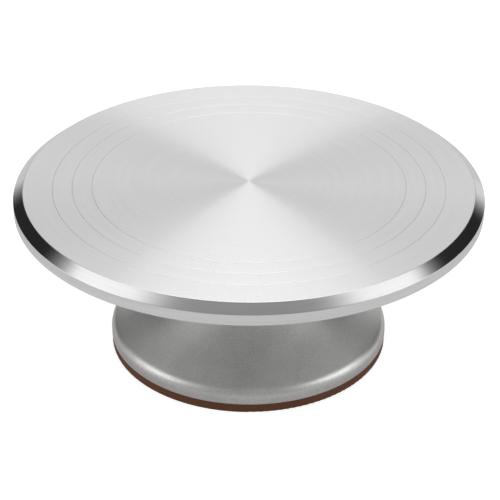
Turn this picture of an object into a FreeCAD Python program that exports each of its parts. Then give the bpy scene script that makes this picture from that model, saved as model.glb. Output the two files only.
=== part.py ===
"""Cake turntable: a turned aluminium plate on a steel spindle that stands in a ball-bearing pedestal.

Millimetres, +Z up, origin on the floor under the middle of the foot. Every driving dimension is a cell of
the sheet below, and each sub-part is an object of this document whose sizes and placement follow the cells.
"""

import FreeCAD, Part
import math
import os

import Sketcher

doc = FreeCAD.newDocument("cake_turntable")

# ---------------------------------------------------------------------------------- driving dimensions

DIMENSIONS = {
    # plate
    "overall_height": 117.5,
    "plate_radius": 152.4,
    "bevel_width": 6.4,
    "bevel_drop": 4.9,
    "rim_depth": 12.3,
    "rim_width": 5.0,
    "web_thickness": 5.5,
    "boss_radius": 36.0,
    "boss_depth": 3.0,
    "ring_edge_gap": 25.4,
    "ring_spacing": 12.7,
    "ring_count": 3,
    "scribe_width": 0.4,
    "scribe_depth": 0.1,
    "centre_mark_radius": 0.8,
    "boss_root_round": 2.0,
    "web_root_round": 2.5,
    "edge_round": 0.8,
    "rim_edge_round": 0.6,
    "crisp_edge_round": 0.4,
    "bevel_edge_round": 0.25,
    # hub under the plate, and its fasteners
    "flange_radius": 30.0,
    "flange_thickness": 6.0,
    "spigot_radius": 12.0,
    "spigot_height": 2.0,
    "spigot_clearance": 0.2,
    "nose_radius": 10.0,
    "nose_length": 6.0,
    "nose_counterbore": 3.0,
    "nose_root_round": 1.5,
    "screw_count": 4,
    "screw_circle_radius": 22.0,
    "screw_radius": 2.5,
    "screw_head_radius": 5.0,
    "screw_head_height": 2.5,
    "screw_length": 10.0,
    "screw_clearance": 0.15,
    "hex_socket_size": 3.0,
    "hex_socket_depth": 1.6,
    "tapped_allowance": 1.5,
    # spindle
    "spindle_clearance": 0.04,
    "spindle_stub_radius": 6.0,
    "spindle_stub_length": 5.8,
    "spindle_screw_length": 13.0,
    "stub_head_gap": 0.2,
    "spindle_tip_chamfer": 1.5,
    "spindle_tip_gap": 1.5,
    # ball bearings, two of one size
    "bearing_bore": 7.5,
    "bearing_radius": 17.5,
    "bearing_width": 11.0,
    "inner_shoulder_radius": 10.75,
    "outer_shoulder_radius": 14.5,
    "ball_radius": 2.9765,
    "ball_count": 8,
    "ball_clearance": 0.05,
    "race_conformity": 1.04,
    "cage_thickness": 2.2,
    "cage_width": 7.2,
    "pocket_clearance": 0.15,
    "shield_thickness": 0.4,
    "shield_inset": 0.3,
    "shield_seat": 0.7,
    "shield_gap": 0.45,
    "spacer_bore_clearance": 0.1,
    "spacer_wall": 2.0,
    "circlip_thickness": 1.5,
    "circlip_width": 3.6,
    "circlip_groove_depth": 1.0,
    "circlip_groove_clearance": 0.1,
    "circlip_gap_angle": 44.0,
    "circlip_ear_radius": 2.1,
    "circlip_ear_hole": 1.0,
    "circlip_ear_gap": 0.15,
    # pedestal
    "foot_radius": 92.6,
    "wall": 4.0,
    "shoulder_height": 14.9,
    "shoulder_round": 7.5,
    "foot_slope": 24.0,
    "hollow_slope": 60.0,
    "neck_wall": 8.0,
    "neck_band": 4.0,
    "flare_gap": 1.0,
    "neck_gap": 2.5,
    "neck_edge": 1.2,
    "column_wall": 4.5,
    "bearing_shelf": 2.5,
    "column_skirt": 3.5,
    "column_floor_gap": 25.0,
    "roof_round": 2.5,
    "rib_count": 6,
    "rib_thickness": 3.0,
    "rib_step": 9.0,
    "rib_end_gap": 14.6,
    "trim_overrun": 0.5,
    # silicone foot ring and the plug under the lower bearing
    "foot_ring_height": 6.5,
    "foot_ring_width": 12.4,
    "foot_ring_inset": 0.2,
    "foot_ring_lip": 3.2,
    "foot_ring_lip_width": 4.0,
    "foot_ring_edge": 0.8,
    "tread_groove_width": 1.2,
    "tread_groove_depth": 0.8,
    "tread_groove_count": 3,
    "cap_thickness": 1.5,
    "cap_height": 2.8,
    "cap_wall": 1.2,
}

sheet = doc.addObject("Spreadsheet::Sheet", "Sizes")
for row, (alias, number) in enumerate(DIMENSIONS.items(), start=1):
    sheet.set(f"A{row}", alias.replace("_", " "))
    sheet.set(f"B{row}", str(number))
    sheet.setAlias(f"B{row}", alias)
doc.recompute()


class Size:
    """A number read from the sheet, together with the expression that works it out."""

    def __init__(self, value, formula):
        self.value = float(value)
        self.formula = formula

    @staticmethod
    def of(other):
        return other if isinstance(other, Size) else Size(other, repr(float(other)))

    def _with(self, sign, other, value):
        return Size(value, f"({self.formula} {sign} {other.formula})")

    def __add__(self, other):
        other = Size.of(other)
        return self._with("+", other, self.value + other.value)

    def __sub__(self, other):
        other = Size.of(other)
        return self._with("-", other, self.value - other.value)

    def __mul__(self, other):
        other = Size.of(other)
        return self._with("*", other, self.value * other.value)

    def __truediv__(self, other):
        other = Size.of(other)
        return self._with("/", other, self.value / other.value)


def size(alias):
    return Size(getattr(sheet, alias), f"Sizes.{alias}")


def of_angle(function, angle):
    """The sine, cosine or tangent of an angle in degrees."""
    value = getattr(math, function)(math.radians(angle.value))
    return Size(value, f"{function}({angle.formula} * 1 deg)")


def smaller(first, second):
    return Size(min(first.value, second.value), f"min({first.formula}; {second.formula})")


def count(alias):
    return int(getattr(sheet, alias))


ZERO = Size(0, "0.0")
FULL_TURN = Size(360, "360.0")

# ---------------------------------------------------------------------- sizes that follow from the cells

plate_bottom = size("overall_height") - size("rim_depth")
web_underside = size("rim_depth") - size("web_thickness")
boss_underside = web_underside - size("boss_depth")
hub_top = plate_bottom + boss_underside
flange_bottom = hub_top - size("flange_thickness")
bearing_top = flange_bottom - size("nose_length")
neck_top = flange_bottom - size("neck_gap")
circlip_groove_width = size("circlip_thickness") + size("circlip_groove_clearance")
column_bottom = size("column_floor_gap")
lower_bearing_bottom = column_bottom + size("column_skirt") + circlip_groove_width
upper_bearing_z = bearing_top - size("bearing_width") / 2
lower_bearing_z = lower_bearing_bottom + size("bearing_width") / 2
spindle_radius = size("bearing_bore") - size("spindle_clearance")
spindle_tip_z = column_bottom + size("cap_height") + size("spindle_tip_gap")
pitch_radius = (size("inner_shoulder_radius") + size("outer_shoulder_radius")) / 2
race_radius = size("ball_radius") * size("race_conformity")
neck_radius = size("bearing_radius") + size("neck_wall")
column_radius = size("bearing_radius") + size("column_wall")
shelf_bore = size("bearing_radius") - size("bearing_shelf")
circlip_groove_radius = size("bearing_radius") + size("circlip_groove_depth")
foot_bore = size("foot_radius") - size("wall")


# ------------------------------------------------------------------------------------ modelling helpers


def new_body(name):
    body = doc.addObject("PartDesign::Body", name)
    body.Label = name
    return body


def origin_plane(body, role):
    return next(o for o in body.Origin.OriginFeatures if o.Role == role)


def new_sketch(body, name, role="XZ_Plane", offset=None):
    """A sketch on one of the body's own origin planes, or at a height above it."""
    sketch = body.newObject("Sketcher::SketchObject", name)
    sketch.AttachmentSupport = [(origin_plane(body, role), "")]
    sketch.MapMode = "FlatFace"
    if offset is not None:
        sketch.setExpression("AttachmentOffset.Base.z", offset.formula)
    return sketch


def pin_point(sketch, geometry, point, x, y):
    """Ties one point of a sketch to the sketch's axes by two sizes."""
    for kind, axis, distance in (("DistanceX", -2, x), ("DistanceY", -1, y)):
        if distance is ZERO:
            sketch.addConstraint(Sketcher.Constraint("PointOnObject", geometry, point, axis))
            continue
        index = sketch.addConstraint(
            Sketcher.Constraint(kind, -1, 1, geometry, point, distance.value)
        )
        sketch.setExpression(f"Constraints[{index}]", distance.formula)


def flat_point(corner):
    return FreeCAD.Vector(corner[0].value, corner[1].value, 0)


def outline(sketch, corners):
    """A closed outline of straight sides. A corner is (x, y) or (x, y, radius of its round)."""
    total = len(corners)
    places = [flat_point(c) for c in corners]
    starts, ends = [], []
    for i, corner in enumerate(corners):
        here, before, after = places[i], places[i - 1], places[(i + 1) % total]
        if len(corner) == 2:
            starts.append(here)
            ends.append(here)
            continue
        towards, away = (before - here).normalize(), (after - here).normalize()
        half_angle = towards.getAngle(away) / 2
        reach = corner[2].value / math.tan(half_angle)
        starts.append(here + towards * reach)
        ends.append(here + away * reach)
    sides = []
    for i in range(total):
        line = Part.LineSegment(ends[i], starts[(i + 1) % total])
        sides.append(sketch.addGeometry(line, False))
    for i, corner in enumerate(corners):
        side_in, side_out = sides[i - 1], sides[i]
        if len(corner) == 2:
            sketch.addConstraint(Sketcher.Constraint("Coincident", side_in, 2, side_out, 1))
            pin_point(sketch, side_out, 1, corner[0], corner[1])
            continue
        add_round(sketch, side_in, side_out, places[i], starts[i], ends[i], corner)


def add_round(sketch, side_in, side_out, place, start, end, corner):
    """An arc tangent to two sides, whose sharp corner is a construction point that the sizes hold."""
    half_angle = (start - place).getAngle(end - place) / 2
    bisector = ((start - place) + (end - place)).normalize()
    centre = place + bisector * (corner[2].value / math.sin(half_angle))
    turns_left = (start - centre).cross(end - centre).z > 0
    first, last = (start, end) if turns_left else (end, start)
    circle = Part.Circle(centre, FreeCAD.Vector(0, 0, 1), corner[2].value)
    angles = [math.atan2((p - centre).y, (p - centre).x) for p in (first, last)]
    arc = sketch.addGeometry(Part.ArcOfCircle(circle, *angles), False)
    at_start, at_end = (1, 2) if turns_left else (2, 1)
    sketch.addConstraint(Sketcher.Constraint("Tangent", side_in, 2, arc, at_start))
    sketch.addConstraint(Sketcher.Constraint("Tangent", arc, at_end, side_out, 1))
    radius = sketch.addConstraint(Sketcher.Constraint("Radius", arc, corner[2].value))
    sketch.setExpression(f"Constraints[{radius}]", corner[2].formula)
    sharp = sketch.addGeometry(Part.Point(place), True)
    sketch.addConstraint(Sketcher.Constraint("PointOnObject", sharp, 1, side_in))
    sketch.addConstraint(Sketcher.Constraint("PointOnObject", sharp, 1, side_out))
    pin_point(sketch, sharp, 1, corner[0], corner[1])


def circle_sketch(sketch, radius, x=ZERO, y=ZERO):
    """A circle whose centre and radius follow the sizes."""
    centre = FreeCAD.Vector(x.value, y.value, 0)
    circle = sketch.addGeometry(
        Part.Circle(centre, FreeCAD.Vector(0, 0, 1), radius.value), False
    )
    index = sketch.addConstraint(Sketcher.Constraint("Radius", circle, radius.value))
    sketch.setExpression(f"Constraints[{index}]", radius.formula)
    pin_point(sketch, circle, 3, x, y)


def revolve(body, sketch, kind="PartDesign::Revolution", angle=360):
    """Turns a sketch about the body's Z axis, to add or, as a groove, to cut."""
    feature = body.newObject(kind, f"{sketch.Name}_turned")
    feature.Profile = sketch
    feature.ReferenceAxis = (sketch, ["V_Axis"])
    feature.Angle = angle
    sketch.Visibility = False
    body.Tip = feature
    return feature


def turned(name, corners):
    """A body turned from one outline in its XZ plane."""
    body = new_body(name)
    sketch = new_sketch(body, f"{name}_outline")
    outline(sketch, corners)
    revolve(body, sketch)
    return body


def extrude(body, sketch, kind, depth, reversed_way=False, midplane=False):
    feature = body.newObject(kind, f"{sketch.Name}_extruded")
    feature.Profile = sketch
    feature.setExpression("Length", depth.formula)
    feature.Reversed = reversed_way
    if midplane:
        feature.SideType = "Symmetric"
    sketch.Visibility = False
    body.Tip = feature
    return feature


def pattern_round(body, feature, number):
    """Repeats a feature evenly about the body's Z axis."""
    pattern = body.newObject("PartDesign::PolarPattern", f"{feature.Name}_pattern")
    pattern.Originals = [feature]
    pattern.Axis = (origin_plane(body, "Z_Axis"), [""])
    pattern.Angle = 360
    pattern.Occurrences = number
    body.Tip = pattern
    return pattern


def must_cut(body, before):
    """Stops the build if a cut took nothing away."""
    doc.recompute()
    if body.Shape.Volume > before - 1e-3:
        raise RuntimeError(f"a cut in {body.Label} removed nothing")


def place(part, z, x=ZERO, y=ZERO):
    for axis, distance in (("x", x), ("y", y), ("z", z)):
        if distance is not ZERO:
            part.setExpression(f"Placement.Base.{axis}", distance.formula)
    return part


def group_of(name, members):
    """One node of several separate solids."""
    group = doc.addObject("Part::Compound", name)
    group.Label = name
    group.Links = members
    return group


def place_round(radius, turn):
    """The x and y of a place on a circle about Z, at a turn in degrees from +X."""
    return radius * of_angle("cos", turn), radius * of_angle("sin", turn)


# ------------------------------------------------------------------------------------------- the plate


def scribe(radius, top):
    """Three corners of a fine V-shaped guide line, from the outside in."""
    half = size("scribe_width") / 2
    return [(radius + half, top), (radius, top - size("scribe_depth")), (radius - half, top)]


def make_turntable_plate():
    """A dished disc: a thin web with a bevelled rim, scribed guide rings and a boss for the hub."""
    top = size("rim_depth")
    rim_bore = size("plate_radius") - size("rim_width")
    recess = size("spigot_radius") + size("spigot_clearance")
    recess_top = boss_underside + size("spigot_height") + size("spigot_clearance")
    corners = [
        (ZERO, recess_top),
        (recess, recess_top),
        (recess, boss_underside),
        (size("boss_radius"), boss_underside, size("edge_round")),
        (size("boss_radius"), web_underside, size("boss_root_round")),
        (rim_bore, web_underside, size("web_root_round")),
        (rim_bore, ZERO, size("rim_edge_round")),
        (size("plate_radius"), ZERO, size("rim_edge_round")),
        (size("plate_radius"), top - size("bevel_drop"), size("crisp_edge_round")),
        (size("plate_radius") - size("bevel_width"), top, size("bevel_edge_round")),
    ]
    outermost_ring = size("plate_radius") - size("ring_edge_gap")
    for i in range(count("ring_count")):
        corners += scribe(outermost_ring - size("ring_spacing") * i, top)
    corners += [
        (size("centre_mark_radius"), top),
        (ZERO, top - size("centre_mark_radius")),
    ]
    body = turned("turntable_plate", corners)
    doc.recompute()
    whole = body.Shape.Volume
    holes = new_sketch(body, "plate_tapped_hole", "XY_Plane", boss_underside)
    circle_sketch(holes, size("screw_radius"), size("screw_circle_radius"))
    depth = size("screw_length") - size("flange_thickness") + size("tapped_allowance")
    hole = extrude(body, holes, "PartDesign::Pocket", depth, reversed_way=True)
    must_cut(body, whole)
    pattern_round(body, hole, count("screw_count"))
    return place(body, plate_bottom)


def make_spindle_hub():
    """A flanged aluminium hub: screwed under the plate, it carries the spindle and rests on the bearing."""
    nose_end = size("nose_length")
    top = nose_end + size("flange_thickness") + size("spigot_height")
    stub_top = size("nose_counterbore") + size("spindle_stub_length") + size("stub_head_gap")
    screw_hole = size("screw_radius") + size("screw_clearance")
    screw_head_hole = size("screw_head_radius") + size("screw_clearance")
    corners = [
        (spindle_radius, ZERO),
        (size("nose_radius"), ZERO, size("crisp_edge_round")),
        (size("nose_radius"), nose_end, size("nose_root_round")),
        (size("flange_radius"), nose_end, size("edge_round")),
        (size("flange_radius"), nose_end + size("flange_thickness"), size("crisp_edge_round")),
        (size("spigot_radius"), nose_end + size("flange_thickness")),
        (size("spigot_radius"), top, size("crisp_edge_round")),
        (screw_head_hole, top),
        (screw_head_hole, top - size("screw_head_height")),
        (screw_hole, top - size("screw_head_height")),
        (screw_hole, stub_top),
        (size("spindle_stub_radius"), stub_top),
        (size("spindle_stub_radius"), size("nose_counterbore")),
        (spindle_radius, size("nose_counterbore")),
    ]
    body = turned("spindle_hub", corners)
    for name, radius, depth in (
        ("hub_screw_hole", screw_hole, size("flange_thickness")),
        ("hub_screw_counterbore", screw_head_hole, size("screw_head_height")),
    ):
        doc.recompute()
        whole = body.Shape.Volume
        sketch = new_sketch(body, name, "XY_Plane", nose_end)
        circle_sketch(sketch, radius, size("screw_circle_radius"))
        hole = extrude(body, sketch, "PartDesign::Pocket", depth, reversed_way=True)
        must_cut(body, whole)
        pattern_round(body, hole, count("screw_count"))
    return place(body, bearing_top)


def make_screw(name, length, head_up=True):
    """A low-head hexagon-socket screw whose head's end face is at local zero."""
    way = -1.0 if head_up else 1.0
    body = turned(
        name,
        [
            (ZERO, ZERO),
            (size("screw_head_radius"), ZERO),
            (size("screw_head_radius"), size("screw_head_height") * way),
            (size("screw_radius"), size("screw_head_height") * way),
            (size("screw_radius"), length * way),
            (ZERO, length * way),
        ],
    )
    doc.recompute()
    whole = body.Shape.Volume
    socket = new_sketch(body, f"{name}_socket", "XY_Plane")
    hexagon(socket, size("hex_socket_size"))
    extrude(body, socket, "PartDesign::Pocket", size("hex_socket_depth"), reversed_way=not head_up)
    must_cut(body, whole)
    return body


def hexagon(sketch, across_flats):
    """A hexagon about the origin with two sides parallel to X."""
    half = across_flats / 2
    corner = half / of_angle("cos", Size.of(30))
    minus_half, minus_corner = ZERO - half, ZERO - corner
    outline(
        sketch,
        [
            (corner, ZERO),
            (corner / 2, half),
            (minus_corner / 2, half),
            (minus_corner, ZERO),
            (minus_corner / 2, minus_half),
            (corner / 2, minus_half),
        ],
    )


def make_spindle():
    """A ground steel pin: chamfered tip, plain journal, and a stub that a screw holds in the hub."""
    shoulder = bearing_top + size("nose_counterbore") - spindle_tip_z
    top = shoulder + size("spindle_stub_length")
    hub_height = size("nose_length") + size("flange_thickness") + size("spigot_height")
    screw_end = bearing_top + hub_height - size("spindle_screw_length") - spindle_tip_z
    bore_end = screw_end - size("tapped_allowance")
    chamfer = size("spindle_tip_chamfer")
    body = turned(
        "spindle",
        [
            (ZERO, ZERO),
            (spindle_radius - chamfer, ZERO),
            (spindle_radius, chamfer),
            (spindle_radius, shoulder),
            (size("spindle_stub_radius"), shoulder),
            (size("spindle_stub_radius"), top),
            (size("screw_radius"), top),
            (size("screw_radius"), bore_end),
            (ZERO, bore_end - size("screw_radius") / 2),
        ],
    )
    return place(body, spindle_tip_z)


def make_hub_screws():
    """The screws that hold the hub under the plate, heads down."""
    screws = []
    number = count("screw_count")
    for i in range(number):
        screw = make_screw(f"hub_screw_{i + 1}", size("screw_length"), head_up=False)
        x, y = place_round(size("screw_circle_radius"), FULL_TURN * (i / number))
        screws.append(place(screw, flange_bottom, x, y))
    return group_of("hub_screws", screws)


def make_spindle_screw():
    """The screw that pulls the spindle's stub up into the hub."""
    screw = make_screw("spindle_screw", size("spindle_screw_length"))
    hub_height = size("nose_length") + size("flange_thickness") + size("spigot_height")
    return place(screw, bearing_top + hub_height)


# ---------------------------------------------------------------------------------------- the bearings


def bearing_ring_blank(name, corners, race_centre):
    """A turned ring of a deep-groove bearing, with its race cut as a round groove."""
    body = turned(name, corners)
    doc.recompute()
    whole = body.Shape.Volume
    race = new_sketch(body, f"{name}_race")
    circle_sketch(race, race_radius, race_centre)
    revolve(body, race, "PartDesign::Groove")
    must_cut(body, whole)
    return body


def make_inner_ring(name, z):
    half = size("bearing_width") / 2
    bore, shoulder = size("bearing_bore"), size("inner_shoulder_radius")
    corners = [(bore, ZERO - half), (shoulder, ZERO - half), (shoulder, half), (bore, half)]
    race_centre = pitch_radius - size("ball_radius") - size("ball_clearance") + race_radius
    return place(bearing_ring_blank(name, corners, race_centre), z)


def make_outer_ring(name, z):
    """The outer ring, which has a recess at each end for a shield."""
    half = size("bearing_width") / 2
    wall, shoulder = size("bearing_radius"), size("outer_shoulder_radius")
    seat = shoulder + size("shield_seat")
    seat_end = half - size("shield_inset") - size("shield_thickness")
    corners = [
        (wall, ZERO - half),
        (seat, ZERO - half),
        (seat, ZERO - seat_end),
        (shoulder, ZERO - seat_end),
        (shoulder, seat_end),
        (seat, seat_end),
        (seat, half),
        (wall, half),
    ]
    race_centre = pitch_radius + size("ball_radius") + size("ball_clearance") - race_radius
    return place(bearing_ring_blank(name, corners, race_centre), z)


def make_balls(name, z):
    """The balls of one bearing, the first of them on +X."""
    balls = []
    number = count("ball_count")
    for i in range(number):
        ball = doc.addObject("Part::Sphere", f"{name}_{i + 1}")
        ball.setExpression("Radius", size("ball_radius").formula)
        x, y = place_round(pitch_radius, FULL_TURN * (i / number))
        balls.append(place(ball, z, x, y))
    return group_of(name, balls)


def make_cage(name, z):
    """A one-piece ring with a round window for each ball, the first of them on +X."""
    half = size("cage_width") / 2
    inner = pitch_radius - size("cage_thickness") / 2
    outer = pitch_radius + size("cage_thickness") / 2
    body = turned(name, [(inner, ZERO - half), (outer, ZERO - half), (outer, half), (inner, half)])
    doc.recompute()
    whole = body.Shape.Volume
    window = new_sketch(body, f"{name}_window", "YZ_Plane")
    circle_sketch(window, size("ball_radius") + size("pocket_clearance"))
    hole = extrude(body, window, "PartDesign::Pocket", outer + size("trim_overrun"), reversed_way=True)
    must_cut(body, whole)
    pattern_round(body, hole, count("ball_count"))
    return place(body, z)


def make_shields(name, z):
    """The two pressed dust shields of one bearing, each in its seat in the outer ring."""
    inner = size("inner_shoulder_radius") + size("shield_gap")
    outer = size("outer_shoulder_radius") + size("shield_seat")
    far = size("bearing_width") / 2 - size("shield_inset")
    near = far - size("shield_thickness")
    shields = []
    for side, low, high in (("upper", near, far), ("lower", ZERO - far, ZERO - near)):
        shield = turned(f"{name}_{side}", [(inner, low), (outer, low), (outer, high), (inner, high)])
        shields.append(place(shield, z))
    return group_of(name, shields)


def make_bearing_spacer():
    """A steel tube between the two inner rings."""
    length = upper_bearing_z - lower_bearing_z - size("bearing_width")
    inner = size("bearing_bore") + size("spacer_bore_clearance")
    outer = inner + size("spacer_wall")
    body = turned(
        "bearing_spacer", [(inner, ZERO), (outer, ZERO), (outer, length), (inner, length)]
    )
    return place(body, lower_bearing_z + size("bearing_width") / 2)


def make_circlip(name, z):
    """An internal retaining ring: an open ring with two eared ends for pliers."""
    body = new_body(name)
    band = new_sketch(body, f"{name}_section")
    outer = circlip_groove_radius - size("circlip_groove_clearance")
    inner = outer - size("circlip_width")
    thick = size("circlip_thickness")
    outline(band, [(inner, ZERO), (outer, ZERO), (outer, thick), (inner, thick)])
    sweep_angle = FULL_TURN - size("circlip_gap_angle")
    revolve(body, band).setExpression("Angle", sweep_angle.formula)
    ear_circle = size("bearing_radius") - size("circlip_ear_radius") - size("circlip_ear_gap")
    for end, turn in (("first", ZERO), ("second", sweep_angle)):
        add_ear(body, f"{name}_{end}_ear", place_round(ear_circle, turn))
    return place(body, z)


def add_ear(body, name, middle):
    """A round ear with a plier hole, as thick as the ring."""
    ear = new_sketch(body, name, "XY_Plane")
    circle_sketch(ear, size("circlip_ear_radius"), *middle)
    extrude(body, ear, "PartDesign::Pad", size("circlip_thickness"))
    doc.recompute()
    whole = body.Shape.Volume
    hole = new_sketch(body, f"{name}_hole", "XY_Plane")
    circle_sketch(hole, size("circlip_ear_hole"), *middle)
    extrude(body, hole, "PartDesign::Pocket", size("circlip_thickness"), reversed_way=True)
    must_cut(body, whole)


# ---------------------------------------------------------------------------------------- the pedestal


def flare_round():
    """The largest round that the foot's slope and the neck leave room for, and its centre."""
    slope = size("foot_slope")
    rise = (size("foot_radius") - neck_radius) * of_angle("tan", slope)
    corner_z = size("shoulder_height") + rise
    half_turn = (Size.of(90) - slope) / 2
    upright_run = neck_top - size("neck_band") - corner_z
    shoulder_reach = size("shoulder_round") * of_angle("tan", half_turn)
    slope_run = (size("foot_radius") - neck_radius) / of_angle("cos", slope) - shoulder_reach
    reach = smaller(upright_run, slope_run - size("flare_gap"))
    radius = reach / of_angle("tan", half_turn)
    return corner_z, radius, (neck_radius + radius, corner_z + reach)


def shoulder_corner(inset):
    """The corner over the foot, moved into the wall by an inset."""
    slope = size("foot_slope")
    drop = inset * of_angle("cos", slope) / (of_angle("sin", slope) + 1.0)
    round_radius = size("shoulder_round") - inset
    return size("foot_radius") - inset, size("shoulder_height") - drop, round_radius


def throat_line(inset):
    """The flare's round, moved into the wall by an inset, and the straight run that leaves it inside.

    Gives the corner where the foot's slope meets that run, with the round, and the run's x for a z.
    """
    _, radius, centre = flare_round()
    slope, steep = size("foot_slope"), size("hollow_slope")
    inner_radius = radius + inset
    touch_x = centre[0] - inner_radius * of_angle("sin", steep)
    touch_z = centre[1] - inner_radius * of_angle("cos", steep)
    back = inner_radius * of_angle("tan", (steep - slope) / 2)
    corner_x = touch_x + back * of_angle("cos", steep)
    corner_z = touch_z - back * of_angle("sin", steep)
    return touch_x, touch_z, (corner_x, corner_z, inner_radius)


def throat_line_height(inset, x):
    """The height at which the straight run inside the throat reaches a distance x from the axis."""
    touch_x, touch_z, _ = throat_line(inset)
    return touch_z + (touch_x - x) * of_angle("tan", size("hollow_slope"))


def make_pedestal():
    """The cast stand: a flared shell with a bored column for the bearings and ribs between the two."""
    base = size("foot_ring_height")
    body = new_body("pedestal")
    shell = new_sketch(body, "pedestal_outside")
    corner_z, radius, _ = flare_round()
    outline(
        shell,
        [
            (ZERO, base),
            (size("foot_radius"), base),
            shoulder_corner(ZERO),
            (neck_radius, corner_z, radius),
            (neck_radius, neck_top, size("neck_edge")),
            (ZERO, neck_top),
        ],
    )
    revolve(body, shell)
    cut_hollow(body, base)
    add_ribs(body)
    trim_column(body, base)
    cut_bores(body)
    return body


def cut_hollow(body, base):
    """Hollows the flared shell from below, round a solid core for the column."""
    doc.recompute()
    whole = body.Shape.Volume
    wall = size("wall")
    roof_z = throat_line_height(wall, column_radius)
    hollow = new_sketch(body, "pedestal_hollow")
    outline(
        hollow,
        [
            (column_radius, base),
            (foot_bore, base),
            shoulder_corner(wall),
            throat_line(wall)[2],
            (column_radius, roof_z, size("roof_round")),
        ],
    )
    revolve(body, hollow, "PartDesign::Groove")
    must_cut(body, whole)


def add_ribs(body):
    """Thin upright webs from the column out to the shell, whose outer edge runs inside the wall."""
    half_wall = size("wall") / 2
    corner = throat_line(half_wall)[2]
    column_middle = column_radius - size("column_wall") / 2
    rib_end = size("foot_radius") - size("rib_end_gap")
    rib_end_z = corner[1] - (rib_end - corner[0]) * of_angle("tan", size("foot_slope"))
    rib = new_sketch(body, "pedestal_rib")
    outline(
        rib,
        [
            (column_middle, column_bottom + size("rib_step")),
            (rib_end, rib_end_z),
            corner,
            (column_middle, throat_line_height(half_wall, column_middle)),
        ],
    )
    web = extrude(body, rib, "PartDesign::Pad", size("rib_thickness"), midplane=True)
    pattern_round(body, web, count("rib_count"))


def trim_column(body, base):
    """Cuts the column off at its own height above the floor."""
    doc.recompute()
    whole = body.Shape.Volume
    trim = new_sketch(body, "pedestal_column_trim")
    reach = column_radius + size("trim_overrun")
    outline(trim, [(ZERO, base), (reach, base), (reach, column_bottom), (ZERO, column_bottom)])
    revolve(body, trim, "PartDesign::Groove")
    must_cut(body, whole)


def cut_bores(body):
    """Bores both bearing seats, their circlip grooves and the passage between them."""
    doc.recompute()
    whole = body.Shape.Volume
    seat = size("bearing_radius")
    upper_shelf = bearing_top - size("bearing_width")
    lower_shelf = lower_bearing_bottom + size("bearing_width")
    bores = new_sketch(body, "pedestal_bores")
    outline(
        bores,
        [
            (ZERO, column_bottom),
            (seat, column_bottom),
            (seat, lower_bearing_bottom - circlip_groove_width),
            (circlip_groove_radius, lower_bearing_bottom - circlip_groove_width),
            (circlip_groove_radius, lower_bearing_bottom),
            (seat, lower_bearing_bottom),
            (seat, lower_shelf),
            (shelf_bore, lower_shelf),
            (shelf_bore, upper_shelf),
            (seat, upper_shelf),
            (seat, bearing_top),
            (circlip_groove_radius, bearing_top),
            (circlip_groove_radius, bearing_top + circlip_groove_width),
            (seat, bearing_top + circlip_groove_width),
            (seat, neck_top),
            (ZERO, neck_top),
        ],
    )
    revolve(body, bores, "PartDesign::Groove")
    must_cut(body, whole)


def make_foot_ring():
    """The silicone ring: a treaded sole flush with the casting, and a lip that grips inside its wall."""
    outer = size("foot_radius") - size("foot_ring_inset")
    inner = size("foot_radius") - size("foot_ring_width")
    height = size("foot_ring_height")
    lip_inner = foot_bore - size("foot_ring_lip_width")
    lip_top = height + size("foot_ring_lip")
    half_groove = size("tread_groove_width") / 2
    depth = size("tread_groove_depth")
    corners = [(inner, ZERO)]
    for i in range(count("tread_groove_count")):
        middle = inner + size("foot_ring_width") * ((i + 1.0) / (count("tread_groove_count") + 1.0))
        corners += [
            (middle - half_groove, ZERO),
            (middle - half_groove, depth),
            (middle + half_groove, depth),
            (middle + half_groove, ZERO),
        ]
    corners += [
        (outer, ZERO, size("foot_ring_edge")),
        (outer, height),
        (foot_bore, height),
        (foot_bore, lip_top),
        (lip_inner, lip_top),
        (lip_inner, height),
        (inner, height),
    ]
    return turned("foot_ring", corners)


def make_bearing_cap():
    """A pressed plug that closes the column below the lower bearing."""
    outer = size("bearing_radius")
    inner = outer - size("cap_wall")
    body = turned(
        "bearing_cap",
        [
            (ZERO, ZERO),
            (outer, ZERO),
            (outer, size("cap_height")),
            (inner, size("cap_height")),
            (inner, size("cap_thickness")),
            (ZERO, size("cap_thickness")),
        ],
    )
    return place(body, column_bottom)


# -------------------------------------------------------------------------------------- the assembly

nodes = [
    make_turntable_plate(),
    make_spindle_hub(),
    make_hub_screws(),
    make_spindle(),
    make_spindle_screw(),
    make_bearing_spacer(),
    make_pedestal(),
    make_foot_ring(),
    make_bearing_cap(),
    make_circlip("upper_circlip", bearing_top),
    make_circlip("lower_circlip", lower_bearing_bottom - size("circlip_thickness")),
]
for level, bearing_z in (("upper", upper_bearing_z), ("lower", lower_bearing_z)):
    nodes += [
        make_inner_ring(f"{level}_bearing_inner_ring", bearing_z),
        make_outer_ring(f"{level}_bearing_outer_ring", bearing_z),
        make_balls(f"{level}_bearing_balls", bearing_z),
        make_cage(f"{level}_bearing_cage", bearing_z),
        make_shields(f"{level}_bearing_shields", bearing_z),
    ]

doc.recompute()
for item in doc.Objects:
    if "Invalid" in item.State or "Error" in item.State:
        raise RuntimeError(f"{item.Label} failed: {item.State}")
for node in nodes:
    if node.Shape.isNull() or not node.Shape.isValid():
        raise RuntimeError(f"{node.Label} has no valid shape")

os.makedirs("parts", exist_ok=True)
for node in nodes:
    node.Shape.exportStep(f"parts/{node.Label}.step")
    solids = len(node.Shape.Solids)
    print(f"{node.Label}: {solids} solid(s), {node.Shape.Volume:.0f} mm3")
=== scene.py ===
"""Cake turntable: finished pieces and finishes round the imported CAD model, in a plain light studio."""

import math

import bmesh
import bpy
from bpy.props import FloatProperty, FloatVectorProperty, IntProperty, PointerProperty
from mathutils import Matrix, Vector


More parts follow.
